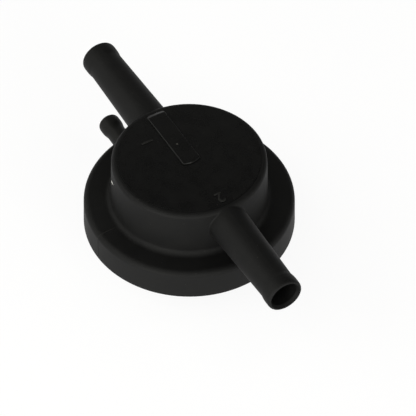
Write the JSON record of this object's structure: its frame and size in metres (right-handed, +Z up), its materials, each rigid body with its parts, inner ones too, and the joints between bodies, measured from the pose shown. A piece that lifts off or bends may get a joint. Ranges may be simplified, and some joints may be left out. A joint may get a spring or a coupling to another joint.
{
  "type": "canister purge valve",
  "caption": "Vacuum-worked diaphragm valve for a fuel vapour line: round drum on a skirted flange, a straight hose tube each side and a small control nipple below.",
  "frame": {"origin": "centre of the flat base of the lower cover", "axes": "+Z up along the valve's axis, towards the top disc; +X along the tank hose tube, away from the drum"},
  "size_m": [0.095, 0.054, 0.0325],
  "materials": {
    "housing_nylon": "black moulded nylon, satin",
    "cover_nylon": "black moulded nylon, satin",
    "diaphragm_rubber": "matt fluorinated rubber on cloth",
    "seal_rubber": "matt brown-black sealing rubber",
    "acetal": "natural acetal, semi-matt",
    "spring_steel": "drawn spring steel",
    "ball_steel": "polished stainless ball",
    "brass": "turned brass",
    "sintered_bronze": "sintered bronze, grainy"
  },
  "bodies": {
    "housing": {"upper_housing": "housing_nylon", "lower_cover": "cover_nylon", "diaphragm": "diaphragm_rubber", "main_spring": "spring_steel", "spring_seat": "spring_steel", "guide_bush": "acetal", "stop_washer": "seal_rubber", "seat_ring": "acetal", "bleed_jet": "brass", "vacuum_filter": "sintered_bronze", "filter_retainer": "spring_steel", "vacuum_restrictor": "brass"},
    "valve": {"valve_carrier": "acetal", "valve_pad": "seal_rubber", "piston": "acetal", "push_nut": "spring_steel", "guide_pin": "acetal", "relief_spring": "spring_steel"},
    "relief": {"relief_ball": "ball_steel"}
  },
  "joints": [
    {"name": "valve_lift", "type": "slide", "parent": "housing", "child": "valve", "axis": [0, 0, -1], "range_m": [0, 0.0025], "stiffness_N_per_m": 350, "springref_m": -0.012, "deforming": ["main_spring", "diaphragm"]},
    {"name": "relief_lift", "type": "slide", "parent": "valve", "child": "relief", "axis": [0, 0, -1], "range_m": [0, 0.0008], "stiffness_N_per_m": 40, "springref_m": -0.003, "deforming": ["relief_spring"]}
  ]
}
